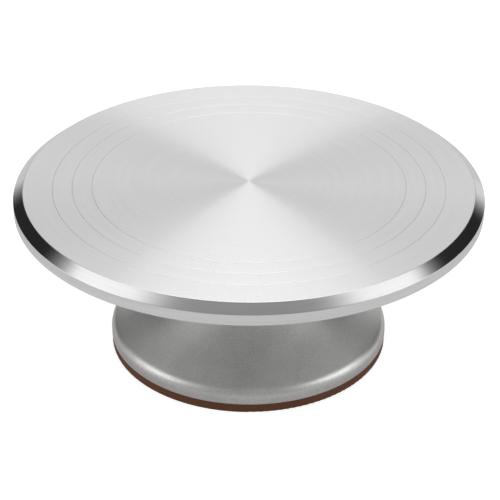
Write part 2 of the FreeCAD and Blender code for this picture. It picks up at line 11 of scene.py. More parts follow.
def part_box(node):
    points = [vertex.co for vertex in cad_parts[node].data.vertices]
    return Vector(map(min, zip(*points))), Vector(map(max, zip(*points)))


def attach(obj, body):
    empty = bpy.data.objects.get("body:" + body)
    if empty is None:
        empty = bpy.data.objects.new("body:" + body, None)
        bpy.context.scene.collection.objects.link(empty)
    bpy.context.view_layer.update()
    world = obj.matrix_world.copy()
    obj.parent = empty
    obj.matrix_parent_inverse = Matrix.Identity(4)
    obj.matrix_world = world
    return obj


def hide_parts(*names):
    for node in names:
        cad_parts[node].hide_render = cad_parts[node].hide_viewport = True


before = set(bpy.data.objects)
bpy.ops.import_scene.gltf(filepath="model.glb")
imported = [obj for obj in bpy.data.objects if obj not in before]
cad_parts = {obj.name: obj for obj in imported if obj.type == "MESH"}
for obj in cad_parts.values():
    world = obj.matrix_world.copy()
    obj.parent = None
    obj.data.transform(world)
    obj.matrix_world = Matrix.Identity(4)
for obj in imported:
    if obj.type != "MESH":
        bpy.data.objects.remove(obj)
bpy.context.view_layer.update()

bl_info = {
    "name": "Cake Turntable",
    "version": (1, 0, 0),
    "blender": (4, 5, 0),
    "location": "View3D > Sidebar > Turntable",
    "description": "Builds a cake turntable's turned, cast and moulded pieces and their finishes",
    "category": "Object",
}

MM = 0.001
FLOOR_SIZE = 6.0
FLOOR_GAP = 0.05 * MM
TAP_ALLOWANCE = 1.5 * MM
OVERRUN = 0.5 * MM
WELD_REACH = 0.001 * MM
SPACER_GAP = 0.14 * MM
BORE_GAP = 0.04 * MM

# The studio. A patch of light or shade is (azimuth, elevation, inner angle, outer angle, level), in degrees.
FLOOR_GREY = 0.62
FLOOR_GLOW = 0.12
FLOOR_SEEN_GLOW = 0.70
WALL_LIGHT = 0.73
CEILING_LIGHT = 0.94
LAMP_ELEVATION = 70.0
LAMP_SPREAD = 43.2
LAMP_STRENGTH = 0.70
CEILING_EDGE = (0.778, 0.822)
FRONT_LIGHT = 0.29
FRONT_EDGE = (-0.24, -0.10)
HIGH_PATCHES = [
    (0.0, 70.0, 30.0, 37.0, 0.70),
    (-88.0, 48.0, 8.0, 17.0, 1.02),
    (88.0, 48.0, 8.0, 17.0, 1.02),
]
SIDE_PATCHES = [
    (-50.0, 20.0, 14.0, 33.0, 0.02),
    (54.0, 24.0, 13.0, 30.0, 0.02),
    (-102.0, 31.0, 4.0, 22.0, 1.9),
    (102.0, 31.0, 4.0, 22.0, 1.9),
]

# Turned finishes: roughness, stretch of the highlights, pitch of the tool marks, contrast, bump.
TURNED_FINISHES = {
    "plate_face": (0.22, 1.0, 0.0004, 0.025, 0.01),
    "plate_bevel": (0.10, 0.5, 0.0003, 0.06, 0.2),
    "plate_rim": (0.25, 0.8, 0.0004, 0.06, 0.2),
    "plate_underside": (0.36, 0.5, 0.0006, 0.1, 0.3),
    "plate_cut_edge_painted_shade": (0.30, 0.5, 0.0004, 0.1, 0.2),
    "casting_bored": (0.24, 0.6, 0.0004, 0.12, 0.5),
    "hub_turned": (0.26, 0.7, 0.0005, 0.12, 0.6),
    "ground_steel": (0.20, 0.4, 0.00015, 0.08, 0.3),
    "bearing_ring_ground": (0.16, 0.4, 0.0002, 0.06, 0.3),
}
MARK_RANGE = (0.45, 1.05)
MARK_DEPTH = 0.00003
MARK_STREAK = 2.5
BAND_SPACING = 7.0
BAND_SHARE = 0.5

# Grained finishes: metallic, roughness, size of the grain, size of the mottle, contrast, depth of the grain.
GRAINED_FINISHES = {
    "cast_blasted": (1.0, 0.42, 0.0008, 0.03, 0.13, 0.00006),
    "silicone_brown": (0.0, 0.62, 0.0009, 0.02, 0.12, 0.00002),
    "cap_moulded": (0.0, 0.42, 0.0005, 0.01, 0.15, 0.00002),
    "zinc_plated": (1.0, 0.30, 0.0004, 0.004, 0.14, 0.00001),
    "ball_polished": (1.0, 0.09, 0.0005, 0.003, 0.03, 0.000002),
    "shield_pressed": (1.0, 0.30, 0.0005, 0.005, 0.12, 0.00001),
    "nylon_moulded": (0.0, 0.45, 0.0006, 0.006, 0.06, 0.00001),
    "spring_blackened": (1.0, 0.36, 0.0003, 0.003, 0.25, 0.00001),
}
GRAIN_RANGE = (0.5, 1.1)
GRAIN_BUMP = 0.35
MOTTLE_SHARE = 0.6
PIT_SHARE = 0.4
ROUGHNESS_SWING = 0.06

# The plate's finishes, in the order of its materials, and how upright a face's normal is on each.
# The last finish paints shade: the scribed grooves and the arris get darker metal for their shadow and dark
# reflection.
FACE, BEVEL, RIM, UNDERSIDE, CUT_EDGE_PAINTED_SHADE = range(5)
FACES_UP = 0.1
STEEPEST_CUT = 0.8
LEVEL = 0.9999
SIDEWAYS = 0.9

# ------------------------------------------------------------------------------------------ settings


def length(name, description, default):
    """A length in the scene's units, whose default is given in millimetres."""
    return FloatProperty(
        name=name, description=description, default=default * MM, min=0.0, unit="LENGTH", precision=5
    )


def colour(name, description, default):
    return FloatVectorProperty(
        name=name, description=description, default=default, size=4, min=0.0, max=1.0, subtype="COLOR"
    )


class TurntablePlateSettings(bpy.types.PropertyGroup):
    bevel_width: length("Bevel Width", "How far the bevel reaches in from the rim", 6.4)
    bevel_drop: length("Bevel Drop", "How far the bevel falls towards the rim", 4.9)
    arris: length("Arris", "Radius that breaks the edge between the face and the bevel", 0.7)
    web: length("Web", "Thickness of the plate inside its rim", 5.5)
    rim_width: length("Rim Width", "Thickness of the rim under the bevel", 5.0)
    boss_radius: length("Boss Radius", "Radius of the boss that the hub is screwed to", 36.0)
    boss_depth: length("Boss Depth", "How far the boss stands below the web", 3.0)
    recess_radius: length("Recess Radius", "Radius of the recess for the hub's spigot", 12.2)
    recess_depth: length("Recess Depth", "Depth of the recess for the hub's spigot", 2.2)
    ring_gap: length("Ring Gap", "Distance from the rim to the outermost guide ring", 25.4)
    ring_spacing: length("Ring Spacing", "Distance between guide rings", 12.7)
    rings: IntProperty(name="Rings", description="Number of scribed guide rings", default=3, min=0)
    scribe_width: length("Scribe Width", "Width of a scribed guide ring", 0.4)
    scribe_depth: length("Scribe Depth", "Depth of a scribed guide ring", 0.1)
    centre_mark: length("Centre Mark", "Radius and depth of the centre mark", 0.8)
    tint: colour("Metal", "Colour of the turned metal", (0.88, 0.88, 0.885, 1.0))


class TurntableStandSettings(bpy.types.PropertyGroup):
    bore_reach: length("Bore Reach", "Radius inside which the casting is bored bright", 18.6)
    cap_wall: length("Cap Wall", "Thickness of the cap's upright wall", 1.2)
    cap_floor: length("Cap Floor", "Thickness of the cap's floor", 1.5)
    cap_dish: length("Cap Dish", "Depth of the dish in the cap's underside", 0.4)
    metal: colour("Casting", "Colour of the sand-blasted metal", (0.835, 0.83, 0.815, 1.0))
    silicone: colour("Silicone", "Colour of the foot ring", (0.19, 0.067, 0.030, 1.0))
    plastic: colour("Plastic", "Colour of the cap", (0.035, 0.035, 0.037, 1.0))


class TurntableSpindleSettings(bpy.types.PropertyGroup):
    nose_radius: length("Nose Radius", "Radius of the hub's nose", 10.0)
    nose_length: length("Nose Length", "Length of the hub's nose below its flange", 6.0)
    flange_thickness: length("Flange Thickness", "Thickness of the hub's flange", 6.0)
    spigot_radius: length("Spigot Radius", "Radius of the spigot on top of the hub", 12.0)
    socket_depth: length("Socket Depth", "How far the spindle's journal enters the hub", 3.0)
    stub_radius: length("Stub Radius", "Radius of the spindle's stub", 6.0)
    stub_length: length("Stub Length", "Length of the spindle's stub", 5.8)
    stub_gap: length("Stub Gap", "Space above the spindle's stub", 0.2)
    tip_chamfer: length("Tip Chamfer", "Chamfer on the spindle's tip", 1.5)
    tapped_depth: length("Tapped Depth", "Depth of the thread in the spindle", 7.7)
    screw_radius: length("Screw Radius", "Radius of every screw's thread", 2.5)
    screw_gap: length("Screw Gap", "Clearance round a screw in its hole", 0.15)
    screw_circle: length("Screw Circle", "Radius of the circle of hub screws", 22.0)
    screws: IntProperty(name="Screws", description="Number of hub screws", default=4, min=1)
    head_radius: length("Head Radius", "Radius of a screw's head", 5.0)
    head_height: length("Head Height", "Height of a screw's head", 2.5)
    key_size: length("Key Size", "Width of the hexagon key across its flats", 3.0)
    key_depth: length("Key Depth", "Depth of the hexagon socket", 1.6)
    thread_pitch: length("Thread Pitch", "Distance between a screw's ridges", 0.8)
    thread_depth: length("Thread Depth", "Depth of a screw's ridges", 0.35)
    steel: colour("Ground Steel", "Colour of the ground spindle", (0.60, 0.60, 0.61, 1.0))
    zinc: colour("Zinc", "Colour of the plated screws", (0.60, 0.62, 0.66, 1.0))


class TurntableBearingSettings(bpy.types.PropertyGroup):
    inner_shoulder: length("Inner Shoulder", "Radius of the inner ring's shoulders", 10.75)
    outer_shoulder: length("Outer Shoulder", "Radius of the outer ring's shoulders", 14.5)
    ball_radius: length("Ball Radius", "Radius of a ball", 2.9765)
    race_radius: length("Race Radius", "Radius of the groove that the balls run in", 3.0956)
    race_gap: length("Race Gap", "Clearance between a ball and its groove", 0.05)
    balls: IntProperty(name="Balls", description="Number of balls in a bearing", default=8, min=3)
    shield_seat: length("Shield Seat", "How far a shield reaches into the outer ring", 0.7)
    shield_depth: length("Shield Depth", "How deep a shield's inner face lies", 0.7)
    shield_gap: length("Shield Gap", "Clearance between a shield and the inner ring", 0.45)
    shield_sheet: length("Shield Sheet", "Thickness of a shield", 0.4)
    shield_dish: length("Shield Dish", "Depth of the channel pressed into a shield", 0.35)
    cage_thickness: length("Cage Thickness", "Thickness of the cage's wall", 2.2)
    window_radius: length("Window Radius", "Radius of the cage's windows", 3.1265)
    ring_edge: length("Ring Edge", "Round on the rings' outer corners", 0.6)
    polished: colour("Bearing Steel", "Colour of the polished rings and balls", (0.66, 0.66, 0.67, 1.0))
    spring: colour("Spring Steel", "Colour of the blackened retaining rings", (0.10, 0.095, 0.09, 1.0))
    nylon: colour("Nylon", "Colour of the cages", (0.62, 0.58, 0.46, 1.0))


class TurntableStudioSettings(bpy.types.PropertyGroup):
    distance: length("Distance", "Distance from the camera to its target", 1119.4)
    elevation: FloatProperty(
        name="Elevation", description="Camera's height angle", default=math.radians(30.72), subtype="ANGLE"
    )
    roll: FloatProperty(
        name="Roll", description="Turn about the line of sight", default=math.radians(-0.32), subtype="ANGLE"
    )
    lens: FloatProperty(name="Lens", description="Focal length in millimetres", default=121.35)
    target_side: length("Target Side", "How far right of the axis the camera points", 0.84)
    target_height: length("Target Height", "Height of the point that the camera looks at", 65.58)


# ------------------------------------------------------------------------------------- mesh making


def round_extent(node):
    """The outer radius, bottom and top of a round CAD node."""
    low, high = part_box(node)
    return high[0], low[2], high[2]


def profile(corners):
    """A bmesh that holds a closed outline in the XZ plane. A corner is (x, z) or (x, z, radius)."""
    bm = bmesh.new()
    verts = [bm.verts.new((corner[0], 0.0, corner[1])) for corner in corners]
    for first, second in zip(verts, verts[1:] + verts[:1]):
        bm.edges.new((first, second))
    places = [Vector((corner[0], corner[1])) for corner in corners]
    for i, corner in enumerate(corners):
        if len(corner) == 2:
            continue
        before = places[i - 1] - places[i]
        after = places[(i + 1) % len(places)] - places[i]
        turn = math.pi - before.angle(after)
        steps = max(2, round(turn / math.radians(7.0)))
        bmesh.ops.bevel(
            bm,
            geom=[verts[i]],
            offset=corner[2] * math.tan(turn / 2.0),
            offset_type="OFFSET",
            affect="VERTICES",
            segments=steps,
            profile=0.5,
            material=-1,
        )
    return bm


def spin_round(bm, steps):
    """Turns the outline in a bmesh about Z into a closed solid with outward faces."""
    bmesh.ops.spin(
        bm,
        geom=bm.verts[:] + bm.edges[:],
        cent=(0.0, 0.0, 0.0),
        axis=(0.0, 0.0, 1.0),
        angle=math.tau,
        steps=steps,
        use_merge=True,
    )
    bmesh.ops.remove_doubles(bm, verts=bm.verts[:], dist=1e-7)
    bmesh.ops.recalc_face_normals(bm, faces=bm.faces[:])
    return bm


def soften(bm, angle):
    """Shades a bmesh smooth, but keeps the edges that are sharper than an angle."""
    for face in bm.faces:
        face.smooth = True
    for edge in bm.edges:
        edge.smooth = len(edge.link_faces) == 2 and edge.calc_face_angle() < angle


def finish_piece(bm, name, body, nodes, materials, sharp=30.0, even=True):
    """Makes an object of a bmesh, which stands for some CAD nodes and rides on their body."""
    soften(bm, math.radians(sharp))
    mesh = bpy.data.meshes.new(name)
    bm.to_mesh(mesh)
    bm.free()
    for material in materials:
        mesh.materials.append(material)
    piece = bpy.data.objects.new(name, mesh)
    bpy.context.scene.collection.objects.link(piece)
    if even:
        piece.modifiers.new("even_shading", "WEIGHTED_NORMAL").keep_sharp = True
    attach(piece, body)
    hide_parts(*nodes)
    return piece


def merged_copy(node):
    """A bmesh of a CAD node's own mesh, with its loose triangles joined."""
    bm = bmesh.new()
    bm.from_mesh(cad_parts[node].data)
    bmesh.ops.remove_doubles(bm, verts=bm.verts[:], dist=1e-6)
    for face in bm.faces:
        face.material_index = 0
    return bm


def smooth_copy(name, node, body, material, sharp=25.0):
    """A piece made from a CAD node's own mesh, shaded smooth between its edges."""
    return finish_piece(merged_copy(node), name, body, [node], [material], sharp, even=False)


def cylinder(bm, radius, low, high, x=0.0, y=0.0, segments=32):
    """Adds an upright closed cylinder to a bmesh."""
    bmesh.ops.create_cone(
        bm,
        cap_ends=True,
        segments=segments,
        radius1=radius,
        radius2=radius,
        depth=high - low,
        matrix=Matrix.Translation((x, y, (low + high) / 2.0)),
    )


def round_places(number, radius):
    """The x, y and turn of places spaced evenly about Z, the first of them on +X."""
    for i in range(number):
        turn = math.tau * i / number
        yield radius * math.cos(turn), radius * math.sin(turn), turn


def join(bm, other):
    """Adds one bmesh to another and frees it."""
    mesh = bpy.data.meshes.new("working")
    other.to_mesh(mesh)
    other.free()
    bm.from_mesh(mesh)
    bpy.data.meshes.remove(mesh)


def working_object(bm):
    """A passing object that holds a bmesh, and frees it."""
    mesh = bpy.data.meshes.new("working")
    bm.to_mesh(mesh)
    bm.free()
    holder = bpy.data.objects.new("working", mesh)
    bpy.context.scene.collection.objects.link(holder)
    return holder


def cut_away(bm, cutter):
    """Takes one closed bmesh away from another and gives what is left."""
    piece, tool = working_object(bm), working_object(cutter)
    cut = piece.modifiers.new("cut", "BOOLEAN")
    cut.object = tool
    cut.operation = "DIFFERENCE"
    cut.solver = "EXACT"
    left = bmesh.new()
    left.from_mesh(piece.evaluated_get(bpy.context.evaluated_depsgraph_get()).data)
    bmesh.ops.remove_doubles(left, verts=left.verts[:], dist=WELD_REACH)
    for holder in (piece, tool):
        mesh = holder.data
        bpy.data.objects.remove(holder)
        bpy.data.meshes.remove(mesh)
    return left


# ------------------------------------------------------------------------------------ node helpers


def add(tree, kind, inputs=None, **settings):
    """Adds a node. Each input is given a value, or linked to another node's output."""
    node = tree.nodes.new(kind)
    for name, value in settings.items():
        setattr(node, name, value)
    for name, value in (inputs or {}).items():
        if isinstance(value, bpy.types.NodeSocket):
            tree.links.new(value, node.inputs[name])
        else:
            node.inputs[name].default_value = value
    return node


def maths(tree, operation, first, second=0.0, third=0.0):
    node = add(tree, "ShaderNodeMath", {0: first, 1: second, 2: third}, operation=operation)
    return node.outputs[0]


def vector_maths(tree, operation, first, second=(0.0, 0.0, 0.0)):
    node = add(tree, "ShaderNodeVectorMath", {0: first, 1: second}, operation=operation)
    return node.outputs["Value" if operation in ("LENGTH", "DOT_PRODUCT") else "Vector"]


def stretch(tree, value, low, high, to_low=0.0, to_high=1.0):
    """Maps a value smoothly from one range to another and holds it there."""
    inputs = {"Value": value, 1: low, 2: high, 3: to_low, 4: to_high}
    return add(tree, "ShaderNodeMapRange", inputs, interpolation_type="SMOOTHSTEP").outputs["Result"]


def mix_colours(tree, share, first, second):
    node = add(tree, "ShaderNodeMix", {0: share, 6: first, 7: second}, data_type="RGBA")
    return node.outputs[2]


def object_place(tree):
    return add(tree, "ShaderNodeTexCoord").outputs["Object"]


def new_group(name, inputs, outputs):
    """An empty shader node group with named number sockets."""
    group = bpy.data.node_groups.new(name, "ShaderNodeTree")
    for label, default in inputs.items():
        socket = group.interface.new_socket(label, in_out="INPUT", socket_type="NodeSocketFloat")
        socket.default_value = default
    for label in outputs:
        group.interface.new_socket(label, in_out="OUTPUT", socket_type="NodeSocketFloat")
    return group, add(group, "NodeGroupInput"), add(group, "NodeGroupOutput")


def group_named(name, maker):
    """A node group that is made once and then shared."""
    return bpy.data.node_groups.get(name) or maker(name)


def use_group(tree, maker, name, values):
    node = add(tree, "ShaderNodeGroup", node_tree=group_named(name, maker))
    for label, value in values.items():
        node.inputs[label].default_value = value
    return node


def turning_marks(name):
    """Fine lines left by a lathe tool, which run round Z and vary a little along their length."""
    group, given, made = new_group(
        name, {"Pitch": 0.0004, "Streak": 6.0, "Band Pitch": 0.003}, ["Lines", "Bands"]
    )
    place = object_place(group)
    flat = vector_maths(group, "MULTIPLY", place, (1.0, 1.0, 0.0))
    radius = vector_maths(group, "LENGTH", flat)
    height = add(group, "ShaderNodeSeparateXYZ", {0: place}).outputs["Z"]
    along = maths(group, "SUBTRACT", radius, height)
    outward = add(group, "ShaderNodeSeparateXYZ", {0: vector_maths(group, "NORMALIZE", flat)})
    for label, pitch, detail in (("Lines", "Pitch", 1.0), ("Bands", "Band Pitch", 0.0)):
        across = maths(group, "DIVIDE", along, given.outputs[pitch])
        spot = add(
            group,
            "ShaderNodeCombineXYZ",
            {
                "X": maths(group, "MULTIPLY", outward.outputs["X"], given.outputs["Streak"]),
                "Y": maths(group, "MULTIPLY", outward.outputs["Y"], given.outputs["Streak"]),
                "Z": across,
            },
        ).outputs[0]
        noise = add(group, "ShaderNodeTexNoise", {"Vector": spot, "Scale": 1.0, "Detail": detail})
        group.links.new(noise.outputs[0], made.inputs[label])
    return group


def surface_grain(name):
    """An even grain, such as a blasted casting or a moulded skin has, and a broad mottle."""
    group, given, made = new_group(name, {"Grain": 0.0006, "Mottle": 0.02}, ["Grain", "Mottle", "Pits"])
    place = object_place(group)
    for label in ("Grain", "Mottle"):
        scale = maths(group, "DIVIDE", 1.0, given.outputs[label])
        noise = add(group, "ShaderNodeTexNoise", {"Vector": place, "Scale": scale, "Detail": 3.0})
        group.links.new(noise.outputs[0], made.inputs[label])
    cell = maths(group, "DIVIDE", 0.6, given.outputs["Grain"])
    pits = add(group, "ShaderNodeTexVoronoi", {"Vector": place, "Scale": cell})
    group.links.new(stretch(group, pits.outputs["Distance"], 0.1, 0.5), made.inputs["Pits"])
    return group


def new_material(name):
    """A material with one Principled shader, its node tree and the shader."""
    material = bpy.data.materials.new(name)
    material.use_nodes = True
    tree = material.node_tree
    tree.nodes.clear()
    shader = add(tree, "ShaderNodeBsdfPrincipled")
    output = add(tree, "ShaderNodeOutputMaterial")
    tree.links.new(shader.outputs[0], output.inputs["Surface"])
    return material, tree, shader


def bump(tree, shader, height, strength, distance):
    """Raises a surface by a height, as seen by its shader."""
    node = add(tree, "ShaderNodeBump", {"Height": height, "Strength": strength, "Distance": distance})
    tree.links.new(node.outputs[0], shader.inputs["Normal"])


def shade(colour_value, factor):
    """A colour made darker by a factor."""
    return (*(part * factor for part in colour_value[:3]), 1.0)


def turned_metal(name, tint):
    """Metal turned on a lathe, whose highlights spread across the tool marks."""
    roughness, anisotropy, pitch, contrast, line_bump = TURNED_FINISHES[name]
    material, tree, shader = new_material(name)
    marks = use_group(
        tree,
        turning_marks,
        "turning_marks",
        {"Pitch": pitch, "Streak": MARK_STREAK, "Band Pitch": pitch * BAND_SPACING},
    )
    both = maths(tree, "MULTIPLY_ADD", marks.outputs["Bands"], BAND_SHARE, marks.outputs["Lines"])
    spread = stretch(tree, both, *MARK_RANGE)
    tree.links.new(
        mix_colours(tree, spread, shade(tint, 1.0 - contrast), shade(tint, 1.0)),
        shader.inputs["Base Color"],
    )
    rough = stretch(tree, both, *MARK_RANGE, roughness * (1.0 + contrast), roughness * (1.0 - contrast))
    tree.links.new(rough, shader.inputs["Roughness"])
    bump(tree, shader, both, line_bump, MARK_DEPTH)
    shader.inputs["Metallic"].default_value = 1.0
    shader.inputs["Anisotropic"].default_value = anisotropy
    outward = vector_maths(tree, "MULTIPLY", object_place(tree), (1.0, 1.0, 0.0))
    turned = add(
        tree,
        "ShaderNodeVectorTransform",
        {"Vector": outward},
        vector_type="VECTOR",
        convert_from="OBJECT",
        convert_to="WORLD",
    ).outputs[0]
    along_marks = vector_maths(tree, "CROSS_PRODUCT", (0.0, 0.0, 1.0), turned)
    facing = add(tree, "ShaderNodeNewGeometry").outputs["Normal"]
    across_marks = vector_maths(tree, "CROSS_PRODUCT", along_marks, facing)
    tree.links.new(vector_maths(tree, "NORMALIZE", across_marks), shader.inputs["Tangent"])
    return material


def grained(name, tint):
    """A surface with an even fine grain: blasted metal, silicone or moulded plastic."""
    metallic, roughness, grain, mottle, contrast, depth = GRAINED_FINISHES[name]
    material, tree, shader = new_material(name)
    look = use_group(tree, surface_grain, "surface_grain", {"Grain": grain, "Mottle": mottle})
    blend = maths(tree, "MULTIPLY_ADD", look.outputs["Mottle"], MOTTLE_SHARE, look.outputs["Grain"])
    share = stretch(tree, blend, *GRAIN_RANGE)
    tree.links.new(
        mix_colours(tree, share, shade(tint, 1.0 - contrast), shade(tint, 1.0 + contrast)),
        shader.inputs["Base Color"],
    )
    rough = stretch(tree, blend, *GRAIN_RANGE, roughness + ROUGHNESS_SWING, roughness - ROUGHNESS_SWING)
    tree.links.new(rough, shader.inputs["Roughness"])
    height = maths(tree, "MULTIPLY_ADD", look.outputs["Pits"], PIT_SHARE, look.outputs["Grain"])
    bump(tree, shader, height, GRAIN_BUMP, depth)
    shader.inputs["Metallic"].default_value = metallic
    return material


# ----------------------------------------------------------------------------------- the turntable


class OBJECT_OT_turntable_plate(bpy.types.Operator):
    """Makes the turned plate with its bevel, rim, guide rings and underside"""

    bl_idname = "object.turntable_plate"
    bl_label = "Plate"

    def execute(self, context):
        size = context.scene.turntable_plate
        radius, bottom, top = round_extent("turntable_plate")
        web = top - size.web
        boss = web - size.boss_depth
        rim_inside = radius - size.rim_width
        corners = [
            (0.0, boss + size.recess_depth),
            (size.recess_radius, boss + size.recess_depth),
            (size.recess_radius, boss),
            (size.boss_radius, boss, 0.8 * MM),
            (size.boss_radius, web, 2.0 * MM),
            (rim_inside, web, 2.5 * MM),
            (rim_inside, bottom, 0.6 * MM),
            (radius, bottom, 0.6 * MM),
            (radius, top - size.bevel_drop, 0.4 * MM),
            (radius - size.bevel_width, top, size.arris),
        ]
        half = size.scribe_width / 2.0
        for i in range(size.rings):
            ring = radius - size.ring_gap - size.ring_spacing * i
            corners += [(ring + half, top), (ring, top - size.scribe_depth), (ring - half, top)]
        corners += [(size.centre_mark, top), (0.0, top - size.centre_mark)]
        bm = self.tap_holes(spin_round(profile(corners), 360), boss, context.scene.turntable_spindle)
        self.choose_finish(bm, radius - size.bevel_width, top, size.bevel_drop, size.arris)
        tint = tuple(size.tint)
        materials = [
            turned_metal("plate_face", tint),
            turned_metal("plate_bevel", tint),
            turned_metal("plate_rim", tint),
            turned_metal("plate_underside", shade(tint, 0.8)),
            # Darker metal on the scribed grooves and the arris: painted shade and a painted dark reflection.
            turned_metal("plate_cut_edge_painted_shade", shade(tint, 0.76)),
        ]
        finish_piece(bm, "plate_turned", "turntable", ["turntable_plate"], materials)
        return {"FINISHED"}

    def tap_holes(self, bm, boss, size):
        """Cuts a blind hole into the boss for each hub screw."""
        depth = round_extent("hub_screws")[2] - boss + TAP_ALLOWANCE
        cutter = bmesh.new()
        for x, y, _ in round_places(size.screws, size.screw_circle):
            cylinder(cutter, size.screw_radius, boss - OVERRUN, boss + depth, x, y)
        return cut_away(bm, cutter)

    def choose_finish(self, bm, face_radius, top, bevel_drop, arris):
        """Gives the face, bevel, rim and underside a finish each, and darker metal to the scribed grooves and
        the broken edge at the arris: painted shade and a painted dark reflection.
        """
        for face in bm.faces:
            middle = face.calc_center_median()
            reach = middle.xy.length
            if middle.z > top - bevel_drop and face.normal.z > FACES_UP:
                face.material_index = FACE if reach < face_radius else BEVEL
                # The scribed grooves and the arris take the darker metal, which is painted shade.
                if reach < face_radius + arris and STEEPEST_CUT < face.normal.z < LEVEL:
                    face.material_index = CUT_EDGE_PAINTED_SHADE
            elif face.normal.xy.length > SIDEWAYS and reach > face_radius:
                face.material_index = RIM
            else:
                face.material_index = UNDERSIDE


class OBJECT_OT_turntable_stand(bpy.types.Operator):
    """Makes the flared casting with its ribs, the silicone foot ring and the cap under the bearings"""

    bl_idname = "object.turntable_stand"
    bl_label = "Stand"

    def execute(self, context):
        size = context.scene.turntable_stand
        self.make_casting(size)
        silicone = grained("silicone_brown", tuple(size.silicone))
        smooth_copy("foot_ring_soft", "foot_ring", "base", silicone, 28.0)
        self.make_cap(size)
        return {"FINISHED"}

    def make_casting(self, size):
        metal = tuple(size.metal)
        materials = [grained("cast_blasted", metal), turned_metal("casting_bored", metal)]
        bm = merged_copy("pedestal")
        for face in bm.faces:
            if face.calc_center_median().xy.length < size.bore_reach:
                face.material_index = 1
        finish_piece(
            bm, "pedestal_casting", "base", ["pedestal"], materials, 28.0, even=False
        )

    def make_cap(self, size):
        outer, bottom, top = round_extent("bearing_cap")
        inner = outer - size.cap_wall
        dish = 0.7 * outer
        corners = [
            (0.0, bottom + size.cap_dish),
            (dish, bottom + size.cap_dish, 0.3 * MM),
            (dish + size.cap_dish, bottom, 0.3 * MM),
            (outer, bottom, 0.6 * MM),
            (outer, top, 0.3 * MM),
            (inner, top, 0.3 * MM),
            (inner, bottom + size.cap_floor, 0.5 * MM),
            (0.0, bottom + size.cap_floor),
        ]
        plastic = grained("cap_moulded", tuple(size.plastic))
        bm = spin_round(profile(corners), 96)
        finish_piece(bm, "bearing_cap_moulded", "base", ["bearing_cap"], [plastic])


